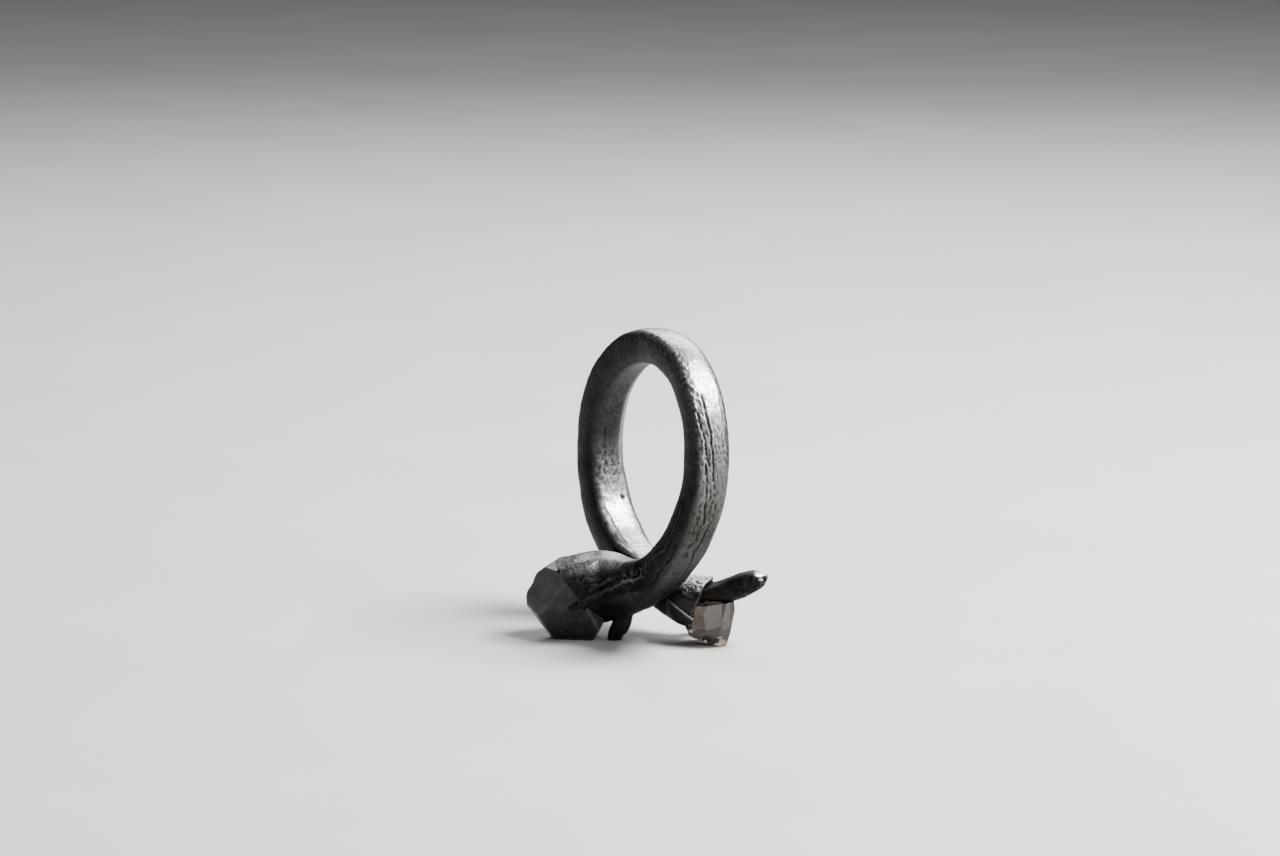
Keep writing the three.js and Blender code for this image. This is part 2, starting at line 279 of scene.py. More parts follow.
def curvature_marks(me, fine=3, broad=14):
    """Vertex values from the shape alone: edge, 1 on worn ridges; cavity, 1 in creases."""
    co, e = coords(me), edges_of(me)
    deg = np.maximum(np.bincount(e.ravel(), minlength=len(co)), 1)
    nrm = normals(me)
    length = np.linalg.norm(co[e[:, 0]] - co[e[:, 1]], axis=1).mean()
    out = []
    sm = co.copy()
    for step in range(1, broad + 1):
        sm = sm + 0.7 * (neighbour_mean(sm, e, deg) - sm)
        if step in (fine, broad):
            out.append(((co - sm) * nrm).sum(1) / length)
    f, b = out
    for _ in range(1):
        f = neighbour_mean(f, e, deg)
    return f, b


def store(me, name, values):
    a = me.attributes.get(name) or me.attributes.new(name, "FLOAT", "POINT")
    a.data.foreach_set("value", np.asarray(values, np.float32))


def grid_faces(n, m, caps=True):
    i = np.arange(n - 1)[:, None]
    j = np.arange(m)[None, :]
    a = i * m + j
    b = i * m + (j + 1) % m
    c = (i + 1) * m + (j + 1) % m
    d = (i + 1) * m + j
    return np.stack([a, b, c, d], -1).reshape(-1, 4)


def mesh_from_sweep(name, P):
    """A closed mesh of a swept grid; each end is closed by shrinking rings."""
    c0, c1 = P[0].mean(0), P[-1].mean(0)
    start = [c0 + (P[0] - c0) * t for t in (0.1, 0.35, 0.6, 0.8, 0.93)]
    end = [c1 + (P[-1] - c1) * t for t in (0.93, 0.8, 0.6, 0.35, 0.1)]
    Q = np.stack(start + list(P) + end)
    n, m = Q.shape[:2]
    v = np.vstack([Q.reshape(-1, 3), c0[None], c1[None]])
    j = np.arange(m)
    jn = (j + 1) % m
    fans = np.vstack([np.stack([np.full(m, n * m), jn, j], 1), np.stack([np.full(m, n * m + 1), (n - 1) * m + j, (n - 1) * m + jn], 1)])
    me = bpy.data.meshes.new(name)
    me.from_pydata(v.tolist(), [], grid_faces(n, m).tolist() + fans.tolist())
    me.update()
    return me


def hull_planes(centre, planes, grow=0.0):
    P = []
    for u, w, z, d in planes:
        l = math.sqrt(u * u + w * w + z * z)
        P.append((u / l, w / l, z / l, d + grow))
    P = np.array(P)
    pts = []
    n = len(P)
    for i in range(n):
        for j in range(i + 1, n):
            for k in range(j + 1, n):
                A = P[[i, j, k], :3]
                if abs(np.linalg.det(A)) < 1e-6:
                    continue
                v = np.linalg.solve(A, P[[i, j, k], 3])
                if (P[:, :3] @ v <= P[:, 3] + 1e-7).all():
                    pts.append(v)
    pts = np.array(pts) + np.array(centre)
    return np.array([at(*p) for p in pts]) + OFF


def hull_mesh(name, pts):
    bm = bmesh.new()
    for p in np.unique(np.round(pts, 5), axis=0):
        bm.verts.new(p)
    bmesh.ops.convex_hull(bm, input=bm.verts)
    bmesh.ops.dissolve_limit(bm, angle_limit=math.radians(0.6), verts=bm.verts, edges=bm.edges)
    bmesh.ops.recalc_face_normals(bm, faces=bm.faces)
    me = bpy.data.meshes.new(name)
    bm.to_mesh(me)
    bm.free()
    return me


def baked(o, name):
    """The object's mesh with its modifiers applied; the object goes."""
    dg = bpy.context.evaluated_depsgraph_get()
    me = bpy.data.meshes.new_from_object(o.evaluated_get(dg))
    me.name = name
    bpy.data.objects.remove(o)
    return me


REMESH_SCALE = 4.0


def carve(me, name, cutters, voxel=None, joined=()):
    """me with the joined meshes added and the cutters taken away, then remeshed at voxel mm."""
    def placed(mesh, label):
        set_coords(mesh, coords(mesh) * REMESH_SCALE)
        return link(label, mesh)

    o = placed(me, name + "_work")
    tools = []
    for k, (mesh, op) in enumerate([(c, "UNION") for c in joined] + [(c, "DIFFERENCE") for c in cutters]):
        t = placed(mesh, f"{name}_tool{k}")
        tools.append(t)
        m = o.modifiers.new(f"tool{k}", "BOOLEAN")
        m.operation, m.solver, m.object = op, "EXACT", t
    if voxel:
        r = o.modifiers.new("remesh", "REMESH")
        r.mode, r.voxel_size = "VOXEL", voxel * REMESH_SCALE
    out = baked(o, name)
    for t in tools:
        bpy.data.objects.remove(t)
    set_coords(out, coords(out) / REMESH_SCALE)
    return out


def largest_part(me):
    """Drops every loose island but the largest."""
    bm = bmesh.new()
    bm.from_mesh(me)
    bm.verts.ensure_lookup_table()
    seen, best = np.zeros(len(bm.verts), bool), []
    for v in bm.verts:
        if seen[v.index]:
            continue
        seen[v.index] = True
        stack, part = [v], []
        while stack:
            x = stack.pop()
            part.append(x)
            for e in x.link_edges:
                y = e.other_vert(x)
                if not seen[y.index]:
                    seen[y.index] = True
                    stack.append(y)
        if len(part) > len(best):
            best = part
    keep = {x.index for x in best}
    bmesh.ops.delete(bm, geom=[x for x in bm.verts if x.index not in keep], context="VERTS")
    bm.to_mesh(me)
    bm.free()
    me.update()
    return me


def half_space(nu, nw, nz, d, side=40.0, ragged=0.0, seed=0):
    """The block u*nu + w*nw + z*nz > d, in the setting frame; its near face may be ragged by so many mm."""
    n = np.array(at(nu, nw, nz))
    l = np.linalg.norm(n)
    n = n / l
    bm = bmesh.new()
    if ragged:
        bmesh.ops.create_grid(bm, x_segments=70, y_segments=70, size=9.0)
        top = bmesh.ops.extrude_face_region(bm, geom=bm.faces[:])
        up = [v for v in top["geom"] if isinstance(v, bmesh.types.BMVert)]
        bmesh.ops.translate(bm, verts=up, vec=(0, 0, 20))
        low = [v for v in bm.verts if v.co.z < 1]
        pts = np.array([list(v.co) for v in low])
        h = ragged * 2.2 * fbm(pts / 1.7 + 5.0, 3, 0.55, seed)
        for v, z in zip(low, h):
            v.co.z = z
        bmesh.ops.recalc_face_normals(bm, faces=bm.faces)
    else:
        bmesh.ops.create_cube(bm, size=side)
        bmesh.ops.translate(bm, verts=bm.verts, vec=(0, 0, side / 2))
    q = Vector((0, 0, 1)).rotation_difference(Vector(n))
    bmesh.ops.rotate(bm, verts=bm.verts, matrix=q.to_matrix(), cent=(0, 0, 0))
    centre = np.array(at(0, 3, 4)) if ragged else np.zeros(3)
    centre = centre - (centre @ n) * n
    bmesh.ops.translate(bm, verts=bm.verts, vec=n * (d / l) + centre + OFF)
    me = bpy.data.meshes.new("half")
    bm.to_mesh(me)
    bm.free()
    return me


def displace(me, amount):
    set_coords(me, coords(me) + normals(me) * np.asarray(amount)[:, None])


def finish_piece(me, name, node, material, smooth=True, marks=True, painted_shade=None):
    """Marks wear, stores the painted shade, goes to metres, and stands for its CAD node."""
    if marks:
        f, b = curvature_marks(me)
        store(me, "edge", np.clip(f * 3.0 + b * 0.6, 0, 1))
        store(me, "cavity", np.clip(-f * 3.5 - b * 0.7, 0, 1))
    if painted_shade is not None:
        store(me, "painted_shade", painted_shade)
    lo, hi = np.array(CAD_BOX[0]), np.array(CAD_BOX[1])
    set_coords(me, np.clip(coords(me) * MM, lo, hi))
    if smooth:
        me.polygons.foreach_set("use_smooth", np.ones(len(me.polygons), bool))
    me.materials.clear()
    me.materials.append(material)
    o = link(name, me)
    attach(o, "root")
    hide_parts(node)
    return o


# ---- materials ----
def node_tree(name):
    m = bpy.data.materials.new(name)
    m.use_nodes = True
    nt = m.node_tree
    nt.nodes.clear()
    out = nt.nodes.new("ShaderNodeOutputMaterial")
    b = nt.nodes.new("ShaderNodeBsdfPrincipled")
    nt.links.new(b.outputs[0], out.inputs[0])
    return m, nt, b


def noise(nt, scale, detail=4.0, rough=0.55, stretch=None):
    tc = nt.nodes.new("ShaderNodeTexCoord")
    n = nt.nodes.new("ShaderNodeTexNoise")
    n.inputs["Scale"].default_value = scale
    n.inputs["Detail"].default_value = detail
    n.inputs["Roughness"].default_value = rough
    if stretch:
        mp = nt.nodes.new("ShaderNodeMapping")
        mp.inputs["Scale"].default_value = stretch
        nt.links.new(tc.outputs["Object"], mp.inputs["Vector"])
        nt.links.new(mp.outputs[0], n.inputs["Vector"])
    else:
        nt.links.new(tc.outputs["Object"], n.inputs["Vector"])
    return n.outputs["Fac"]


def ramp(nt, fac, stops):
    r = nt.nodes.new("ShaderNodeValToRGB")
    r.color_ramp.elements.remove(r.color_ramp.elements[1])
    first = True
    for pos, col in stops:
        el = r.color_ramp.elements[0] if first else r.color_ramp.elements.new(pos)
        el.position = pos
        el.color = (*col, 1) if len(col) == 3 else col
        first = False
    nt.links.new(fac, r.inputs[0])
    return r.outputs[0]


def math_node(nt, op, a, b=None, clamp=False):
    n = nt.nodes.new("ShaderNodeMath")
    n.operation = op
    n.use_clamp = clamp
    for i, x in enumerate((a, b)):
        if x is None:
            continue
        if isinstance(x, (int, float)):
            n.inputs[i].default_value = x
        else:
            nt.links.new(x, n.inputs[i])
    return n.outputs[0]


def mix_color(nt, fac, a, b):
    n = nt.nodes.new("ShaderNodeMix")
    n.data_type = "RGBA"
    for sock, x in ((n.inputs[0], fac), (n.inputs[6], a), (n.inputs[7], b)):
        if isinstance(x, (int, float)):
            sock.default_value = x
        elif isinstance(x, tuple):
            sock.default_value = (*x, 1)
        else:
            nt.links.new(x, sock)
    return n.outputs[2]


def attribute(nt, name):
    a = nt.nodes.new("ShaderNodeAttribute")
    a.attribute_name = name
    return a.outputs["Fac"]


def metal_material():
    m, nt, b = node_tree("blackened_silver")
    edge, cavity, wear_and_highlight, painted_shade = (attribute(nt, n) for n in ("edge", "cavity", "wear_and_highlight", "painted_shade"))
    blotch = noise(nt, 380, 5, 0.6)
    grain = noise(nt, 2400, 4, 0.6)
    fine = noise(nt, 7000, 2, 0.5)
    # patina: near black, thinner and greyer in soft clouds
    dark = ramp(nt, blotch, [(0.32, (0.019, 0.019, 0.0175)), (0.55, (0.033, 0.033, 0.030)), (0.72, (0.055, 0.054, 0.050))])
    silver = ramp(nt, grain, [(0.25, (0.36, 0.355, 0.345)), (0.75, (0.56, 0.555, 0.54))])
    # bare metal shows through on raised edges, and the lighter silver on the lit faces is painted highlight mixed with
    # some real rub
    rub_and_highlight = math_node(nt, "MULTIPLY", wear_and_highlight, math_node(nt, "ADD", math_node(nt, "MULTIPLY", blotch, 0.8), 0.6), True)
    # worn holds the painted highlight as well as the edge wear, less the patina in creases
    worn = math_node(nt, "ADD", rub_and_highlight, math_node(nt, "MULTIPLY", edge, math_node(nt, "ADD", math_node(nt, "MULTIPLY", grain, 0.25), 0.10)), True)
    worn = math_node(nt, "SUBTRACT", worn, math_node(nt, "MULTIPLY", cavity, 0.55), True)
    col = mix_color(nt, worn, dark, silver)
    col = mix_color(nt, math_node(nt, "MULTIPLY", cavity, 0.55, True), col, (0.014, 0.014, 0.013))
    # painted shade: near black laid on faces turned from the light, less where the metal is bare or lit
    col = mix_color(nt, math_node(nt, "MULTIPLY", painted_shade, math_node(nt, "SUBTRACT", 1.0, math_node(nt, "MULTIPLY", worn, 0.8), True), True), col, (0.009, 0.009, 0.0085))
    nt.links.new(col, b.inputs["Base Color"])
    rough = math_node(nt, "ADD", math_node(nt, "MULTIPLY", grain, 0.14), 0.36)
    rough = math_node(nt, "SUBTRACT", rough, math_node(nt, "MULTIPLY", worn, 0.06))
    rough = math_node(nt, "ADD", rough, math_node(nt, "MULTIPLY", cavity, 0.2), True)
    rough = math_node(nt, "ADD", rough, math_node(nt, "MULTIPLY", painted_shade, 0.16), True)
    nt.links.new(rough, b.inputs["Roughness"])
    b.inputs["Metallic"].default_value = 1.0
    bump = nt.nodes.new("ShaderNodeBump")
    bump.inputs["Strength"].default_value = 0.35
    bump.inputs["Distance"].default_value = 0.00006
    h = math_node(nt, "ADD", math_node(nt, "MULTIPLY", grain, 0.7), math_node(nt, "MULTIPLY", fine, 0.3))
    nt.links.new(h, bump.inputs["Height"])
    nt.links.new(bump.outputs[0], b.inputs["Normal"])
    return m


def stone_material():
    m, nt, b = node_tree("dark_stone")
    cloud = noise(nt, 330, 5, 0.6)
    speck = noise(nt, 2300, 3, 0.6)
    edge, cavity = attribute(nt, "edge"), attribute(nt, "cavity")
    col = ramp(nt, cloud, [(0.3, (0.004, 0.0045, 0.004)), (0.52, (0.009, 0.0105, 0.0085)), (0.72, (0.026, 0.030, 0.023))])
    # painted highlight: a lighter grey-green on the upper-left facet and faces turned up
    lit_facet = attribute(nt, "wear_and_highlight")
    col = mix_color(nt, math_node(nt, "MULTIPLY", lit_facet, 0.8, True), col, (0.062, 0.068, 0.057))
    col = mix_color(nt, ramp(nt, speck, [(0.62, (0, 0, 0)), (0.78, (0.55, 0.55, 0.55))]), col, (0.11, 0.115, 0.10))
    col = mix_color(nt, math_node(nt, "MULTIPLY", edge, 0.35, True), col, (0.16, 0.165, 0.15))
    nt.links.new(col, b.inputs["Base Color"])
    rough = math_node(nt, "ADD", math_node(nt, "MULTIPLY", cloud, 0.35), 0.22)
    nt.links.new(rough, b.inputs["Roughness"])
    b.inputs["IOR"].default_value = 1.58
    b.inputs["Specular IOR Level"].default_value = 0.22
    bump = nt.nodes.new("ShaderNodeBump")
    bump.inputs["Strength"].default_value = 0.25
    bump.inputs["Distance"].default_value = 0.00005
    nt.links.new(math_node(nt, "ADD", math_node(nt, "MULTIPLY", speck, 0.5), math_node(nt, "MULTIPLY", cloud, 0.5)), bump.inputs["Height"])
    nt.links.new(bump.outputs[0], b.inputs["Normal"])
    return m


def crystal_material():
    m, nt, b = node_tree("clear_crystal")
    veil = noise(nt, 520, 5, 0.65)
    band = noise(nt, 420, 2, 0.5, stretch=(1, 1, 2.5))
    col = ramp(nt, veil, [(0.35, (0.066, 0.053, 0.044)), (0.6, (0.042, 0.033, 0.027)), (0.78, (0.020, 0.0155, 0.0125))])
    nt.links.new(col, b.inputs["Base Color"])
    rough = ramp(nt, veil, [(0.45, (0.015,) * 3), (0.7, (0.12,) * 3)])
    nt.links.new(rough, b.inputs["Roughness"])
    b.inputs["IOR"].default_value = 1.544
    b.inputs["Transmission Weight"].default_value = 1.0
    bump = nt.nodes.new("ShaderNodeBump")
    bump.inputs["Strength"].default_value = 0.4
    bump.inputs["Distance"].default_value = 0.0001
    nt.links.new(band, bump.inputs["Height"])
    nt.links.new(bump.outputs[0], b.inputs["Normal"])
    return m


def floor_material():
    m, nt, b = node_tree("floor")
    n = noise(nt, 40, 4, 0.5)
    nt.links.new(ramp(nt, n, [(0.3, (0.505, 0.50, 0.49)), (0.7, (0.545, 0.54, 0.53))]), b.inputs["Base Color"])
    b.inputs["Roughness"].default_value = 0.75
    return m


METAL = metal_material()
STONE = stone_material()
CRYSTAL = crystal_material()


# ---- surface work ----
def row(points):
    """Setting-frame points (u, w, z) in the row frame, mm."""
    return np.array([at(*p) for p in points]) + OFF


def along(V, line, reach):
    """Distance from each vertex to a polyline, and how far along it (0 to 1) the nearest point lies."""
    line = np.asarray(line, float)
    seg = np.linalg.norm(np.diff(line, axis=0), axis=1)
    total = seg.sum()
    best = np.full(len(V), 1e9)
    where = np.zeros(len(V))
    lo, hi = line.min(0) - reach, line.max(0) + reach
    near = np.nonzero(((V > lo) & (V < hi)).all(1))[0]
    W = V[near]
    b = best[near]
    t_at = where[near]
    done = 0.0
    for p, q, l in zip(line[:-1], line[1:], seg):
        d = q - p
        t = np.clip(((W - p) @ d) / (l * l), 0, 1)
        dist = np.linalg.norm(W - p - t[:, None] * d, axis=1)
        closer = dist < b
        b = np.where(closer, dist, b)
        t_at = np.where(closer, (done + t * l) / total, t_at)
        done += l
    best[near], where[near] = b, t_at
    return best, where


def stroke(V, line, half, amount, fade=0.12, wobble=0.5, seed=3):
    """A groove (amount < 0) or ridge (amount > 0) along a polyline, ragged and fading at both ends."""
    jit = np.stack([fbm(V / 0.9, 2, seed=seed + c) for c in range(3)], 1) * half * wobble * 2
    d, t = along(V + jit, line, half * 5 + 0.4)
    ends = smooth01(t, 0, fade) * smooth01(1 - t, 0, fade) if fade else 1
    power = 0.75 + 0.6 * fbm(V / 0.7, 2, seed=seed + 7)
    return amount * np.exp(-((d / half) ** 2)) * ends * power


def shank_point(P, kk, f, k, angle):
    i = int(np.abs(kk - k).argmin())
    j = int(np.abs((f - angle + 180) % 360 - 180).argmin())
    return P[i, j]


def skin(V):
    """The slow swell of the hammered bar, shared by pieces that meet."""
    return 0.055 * fbm(V / 3.6, 2, seed=1) - 0.015 + 0.016 * fbm(V / 1.25, 2, seed=5) + 0.008 * fbm(V / 0.42, 3, seed=9)


def neck_marks(V):
    """The crumple and folds over the joint between shank and hood."""
    crumple = np.zeros(len(V))
    for u, w, z, r in ((-2.4, 5.3, 6.2, 0.55), (-2.0, 5.5, 6.4, 0.6), (-1.5, 5.9, 6.7, 0.65), (-1.0, 6.5, 7.1, 0.6), (-0.6, 7.0, 7.6, 0.5)):
        c = row([(u, w, z)])[0]
        crumple = np.maximum(crumple, np.exp(-((np.linalg.norm(V - c, axis=1) / r) ** 2)))
    D = crumple * (0.20 * ridged(V / 0.7, 2, 0.5, seed=121) - 0.04)
    D += stroke(V, row([(-2.9, 4.85, 5.75), (-2.3, 5.2, 5.95), (-1.7, 5.7, 6.1), (-1.15, 6.2, 6.5), (-0.6, 6.9, 7.2)]), 0.2, 0.12, seed=131)
    # the folded flap: a wandering ridge across the front, hollow under it
    ridge = row([(-0.7, 6.8, 7.0), (-1.15, 6.26, 6.43), (-2.03, 5.49, 5.98), (-3.08, 4.77, 5.46), (-4.23, 4.5, 4.85), (-5.38, 4.36, 4.27), (-6.16, 4.45, 3.96), (-6.7, 4.4, 3.6)])
    D += stroke(V, ridge, 0.26, 0.18, seed=211, fade=0.16)
    D += stroke(V, ridge - [0, 0, 0.6], 0.42, -0.17, seed=212, fade=0.2, wobble=0.3)
    return D, crumple


def neck_tone(nrm, crumple):
    """Painted highlight on upward faces and the crumple, and painted shade on the other faces, lighter on the crumple,
    at the joint of shank and hood, the same on both pieces.
    """
    top = smooth01(nrm[:, 2], 0.35, 0.85)
    return 0.04 + 0.25 * top + 0.25 * crumple, (0.7 - 0.4 * top) * (1 - 0.8 * crumple)


def build_shank():
    buried = station(at(-2.5, 2.65, 4.95), [r - 0.55 for r in NECK[0]], *NECK[1:])
    P, kk, s, f, rad, _ = sweep_grid([buried] + SHANK, 0.095, 168)
    kk = kk - 1
    P = P + OFF
    N = grid_normals(P)
    n, m = P.shape[:2]
    V, NV = P.reshape(-1, 3), N.reshape(-1, 3)
    K = np.repeat(kk, m)
    S = np.repeat(s, m)
    Fa = np.tile(f, n)
    R = rad.ravel()
    # arc position round the section, mm, from the outward direction
    seg = np.linalg.norm(np.roll(P, -1, 1) - P, axis=2)
    arc = (np.cumsum(seg, 1) - seg).ravel()
    A = (Fa + 180) % 360 - 180

    def face(centre, half, soft=14):
        d = np.abs((Fa - centre + 180) % 360 - 180)
        return smooth01(-d, -half - soft, -half + soft)

    outer, front, inner, back = face(0, 44), face(270, 44), face(180, 44), face(90, 44)
    q = np.stack([S, arc * 1.0, np.zeros_like(S)], 1)

    D = skin(V)
    away = smooth01(K, 0.8, 2.2)  # the bar's own marks start beyond the neck
    # leathery lines, long the way the bar runs, on the outer and rear faces
    lines = ridged(np.stack([S / 3.4 + 0.25 * arc, arc / 0.62 + 0.5 * fbm(V / 1.4, 2, seed=31), np.zeros_like(S)], 1), 3, 0.55, seed=21)
    cross = ridged(np.stack([S / 0.8 + arc * 0.9, arc / 1.3 - S * 0.35, np.zeros_like(S)], 1), 2, 0.5, seed=41)
    leather = smooth01(K, 3.9, 4.8) * smooth01(-K, -6.9, -6.1)
    leather = 0.2 + 0.8 * leather
    D -= away * (outer * 0.9 + back * 0.8) * leather * (0.062 * lines + 0.045 * cross)
    D += away * (outer + 0.7 * front) * 0.022 * fbm(V / 0.33, 3, 0.6, seed=63)
    D += away * outer * 0.025 * fbm(V / 0.6, 3, seed=61)
    # the inside is rubbed smooth, with torn patches
    torn = smooth01(K, 10.6, 11.4) * smooth01(-K, -12.5, -12.0)
    D += inner * (0.03 * fbm(V / 0.7, 3, seed=71) * 0.6 + torn * (0.07 * fbm(V / 0.6, 4, seed=73) - 0.02))
    D -= away * inner * 0.012 * lines
    D += away * front * 0.012 * fbm(V / 0.9, 3, seed=81)
    # a wrinkled band where the forging folded over the front outer edge
    d_edge = np.abs((Fa - (312 - 4 * smooth01(K, 7.4, 8.4) + 20 * smooth01(-K, -6.2, -5.0)) + 180) % 360 - 180)
    run = smooth01(K, 4.6, 5.6) * smooth01(-K, -9.2, -8.3)
    band = np.exp(-((d_edge / 19.0) ** 2)) * run
    dash = fbm(np.stack([S / 0.26 + 1.1 * arc, arc / 0.42 - 0.6 * S, np.zeros_like(S)], 1), 4, 0.65, seed=91)
    D += band * (0.12 * dash + 0.07 * ridged(V / 0.55, 3, 0.6, seed=93) - 0.03)
    # soft corners wander in and out
    corner = np.clip(R / (0.5 * (np.abs(R) * 0 + 1.75)) - 1.08, 0, 1)
    D += corner * 0.07 * fbm(V / 1.7, 3, seed=95)

    def line(*ka):
        return [shank_point(P, kk, f, k, a) for k, a in ka]

    D += stroke(V, line((6.4, 340), (6.25, 338), (6.03, 338), (5.88, 342), (5.75, 348), (5.56, 348), (5.43, 352), (5.22, 356), (4.78, 6)), 0.085, -0.14, seed=101)
    D += stroke(V, line((6.4, 336), (6.25, 333), (6.03, 334), (5.88, 338), (5.75, 343), (5.56, 343), (5.43, 347), (5.22, 351)), 0.13, 0.06, seed=102)
    D += stroke(V, line((6.1, 314), (6.03, 316), (5.92, 318), (5.77, 322), (5.63, 328), (5.42, 332), (5.22, 342)), 0.09, -0.13, seed=103)
    D += stroke(V, line((5.5, 326), (5.22, 332), (4.92, 338), (4.6, 346), (4.25, 2)), 0.10, -0.12, seed=104)
    D += stroke(V, line((4.73, 268), (4.45, 272), (4.24, 272), (3.99, 272), (3.72, 272), (3.44, 276), (3.06, 260), (2.59, 264)), 0.13, 0.10, seed=105)
    D += stroke(V, line((4.73, 262), (4.45, 265), (4.24, 265), (3.99, 265), (3.72, 264), (3.44, 266), (3.06, 252)), 0.12, -0.08, seed=106)
    D += stroke(V, line((4.5, 2), (4.2, 0), (4.01, 358), (3.81, 346), (3.55, 352), (3.31, 0), (2.9, 6)), 0.15, 0.12, seed=107)
    D += stroke(V, line((4.4, 12), (4.0, 8), (3.7, 0), (3.3, 10), (2.9, 16)), 0.12, -0.10, seed=108)
    D += stroke(V, line((3.9, 300), (3.4, 306), (2.9, 304), (2.4, 310)), 0.14, -0.08, seed=109)
    # folds where the two strands pass
    D += stroke(V, line((13.68, 242), (14.12, 236), (14.53, 228), (15.0, 226)), 0.13, -0.12, seed=110)
    D += stroke(V, line((13.51, 232), (14.0, 222), (14.53, 216)), 0.12, 0.10, seed=111)
    D += stroke(V, line((14.17, 196), (14.17, 186), (14.24, 170), (14.22, 148)), 0.10, -0.16, seed=112)
    D += stroke(V, line((12.13, 212), (12.61, 208), (13.17, 204), (14.1, 206)), 0.16, 0.07, seed=113)
    D += stroke(V, line((10.6, 196), (11.2, 190), (11.6, 200)), 0.16, -0.05, seed=114)
    pit = shank_point(P, kk, f, 12.09, 152)
    D -= 0.16 * np.exp(-((np.linalg.norm(V - pit, axis=1) / 0.22) ** 2))
    spot = shank_point(P, kk, f, 12.79, 230)
    D -= 0.10 * np.exp(-((np.linalg.norm(V - spot, axis=1) / 0.14) ** 2))
    marks, crumple = neck_marks(V)
    D += marks
    # nothing stands proud of the ring's outline at the top and the sides
    D = np.where(outer > 0.3, np.minimum(D, 0.0), D)
    D -= 0.09 * (1 - smooth01(K, 0.0, 0.7))
    V2 = V + NV * D[:, None]
    me = mesh_from_sweep("shank_bark", V2.reshape(n, m, 3))
    # painted highlight on the outer face, the lower inner face, the wrinkled band and the crumple, with a little real
    # rub over the whole inner face
    wear_and_highlight = np.zeros(len(me.vertices))
    base = 5 * m
    highlight_and_rub = 0.05 + outer * (0.22 * smooth01(K, 4.2, 5.2) + 0.4 * smooth01(K, 5.7, 6.4)) * smooth01(-K, -9.0, -7.6) + 0.75 * inner * smooth01(K, 11.6, 12.6) + 0.1 * inner
    highlight_and_rub += 0.2 * band + 0.25 * crumple
    # a thin painted highlight line along the inner lip
    lip = np.exp(-(((Fa - 136) / 8.0) ** 2)) * smooth01(K, 9.2, 9.8) * smooth01(-K, -12.4, -11.8)
    highlight_and_rub += 0.55 * lip
    n_all = normals(me)[base : base + n * m]
    tone, neck_shade = neck_tone(n_all, crumple)
    near = 1 - smooth01(K, 0.2, 1.6)
    wear_and_highlight[base : base + n * m] = highlight_and_rub * (1 - near) + tone * near
    store(me, "wear_and_highlight", np.clip(wear_and_highlight, 0, 1))
    # painted shade, darker on the front faces, on the upper inner face and in bands along the strand; the buried start
    # rings take 0.75
    painted_shade = np.zeros(len(me.vertices))
    shade = np.clip(
        0.6 * front + 0.3 * smooth01(K, 7.7, 8.6) * (1 - inner) + 0.8 * inner * smooth01(-K, -11.7, -10.6) + 0.35 * smooth01(-K, -5.6, -4.6)
        + 0.6 * smooth01(-K, -4.4, -1.0) * (1 - 0.8 * crumple) + 0.4 * smooth01(K, 13.6, 15.2), 0, 0.9)
    painted_shade[base : base + n * m] = shade * (1 - near) + neck_shade * near
    painted_shade[:base] = 0.75
    return finish_piece(me, "shank_bark", "shank", METAL, painted_shade=painted_shade)


def swept(name, stations, up=None, pitch=0.25, points=56):
    P = sweep_grid(stations, pitch, points, up=up)[0]
    return mesh_from_sweep(name, P + OFF)


def shift(me, vec):
    set_coords(me, coords(me) + np.array(vec))
    return me


def blob(name, centre, radius, seed, rough=0.35):
    """A lumpy ball, mm, for chips and torn edges."""
    bm = bmesh.new()
    bmesh.ops.create_icosphere(bm, subdivisions=3, radius=1.0)
    me = bpy.data.meshes.new(name)
    bm.to_mesh(me)
    bm.free()
    co = coords(me)
    r = 1 + rough * fbm(co * 1.3 + seed * 3.7, 2, seed=seed)
    set_coords(me, co * r[:, None] * np.asarray(radius) + np.asarray(centre))
    return me


HOOD_FACES = {4: 187, 6: 260, 7: 311}
HOOD = [
    station(at(-9.8, 1.5, 3.8), [3.5, 3.6, 3.2, 3.6, 2.65, 3.6, 3.0, 3.0], 7, HOOD_FACES, -14),
    station(at(-7.2, 1.55, 4.1), [3.4, 3.6, 3.2, 3.6, 2.84, 3.6, 3.0, 2.92], 7, HOOD_FACES, -9),
    station(at(-5.6, 1.6, 4.35), [3.25, 3.5, 3.15, 3.6, 3.0, 3.5, 2.9, 2.6], 7, {4: 187, 6: 255, 7: 306}, -5),
    station(at(-4.2, 1.75, 4.55), [3.12, 3.35, 3.0, 3.5, 3.05, 3.4, 2.8, 2.35], 7, {4: 187, 6: 250, 7: 302}, -2),
    station(at(-2.9, 2.45, 4.8), [2.9, 3.1, 2.65, 3.2, 2.75, 3.2, 2.5, 2.4], 6, {4: 185, 6: 255, 7: 305}),
    station(at(-1.75, 3.25, 5.2), *NECK),
]
HOOD_TUCK = station(at(-1.2, 3.75, 5.475), [2.35, 2.7, 1.95, 2.43, 2.03, 2.48, 1.88, 2.38], 5, {6: 264, 7: 309.5})
COLLAR = [
    bar(at(1.65, 1.2, 3.85), 1.8, 1.65),
    bar(at(2.5, 2.0, 3.65), 2.0, 1.95, 4, 6),
    bar(at(3.5, 3.0, 3.7), 2.15, 2.3, 4, 14),
    bar(at(5.4, 4.2, 3.7), 2.2, 2.4, 4, 20),
]
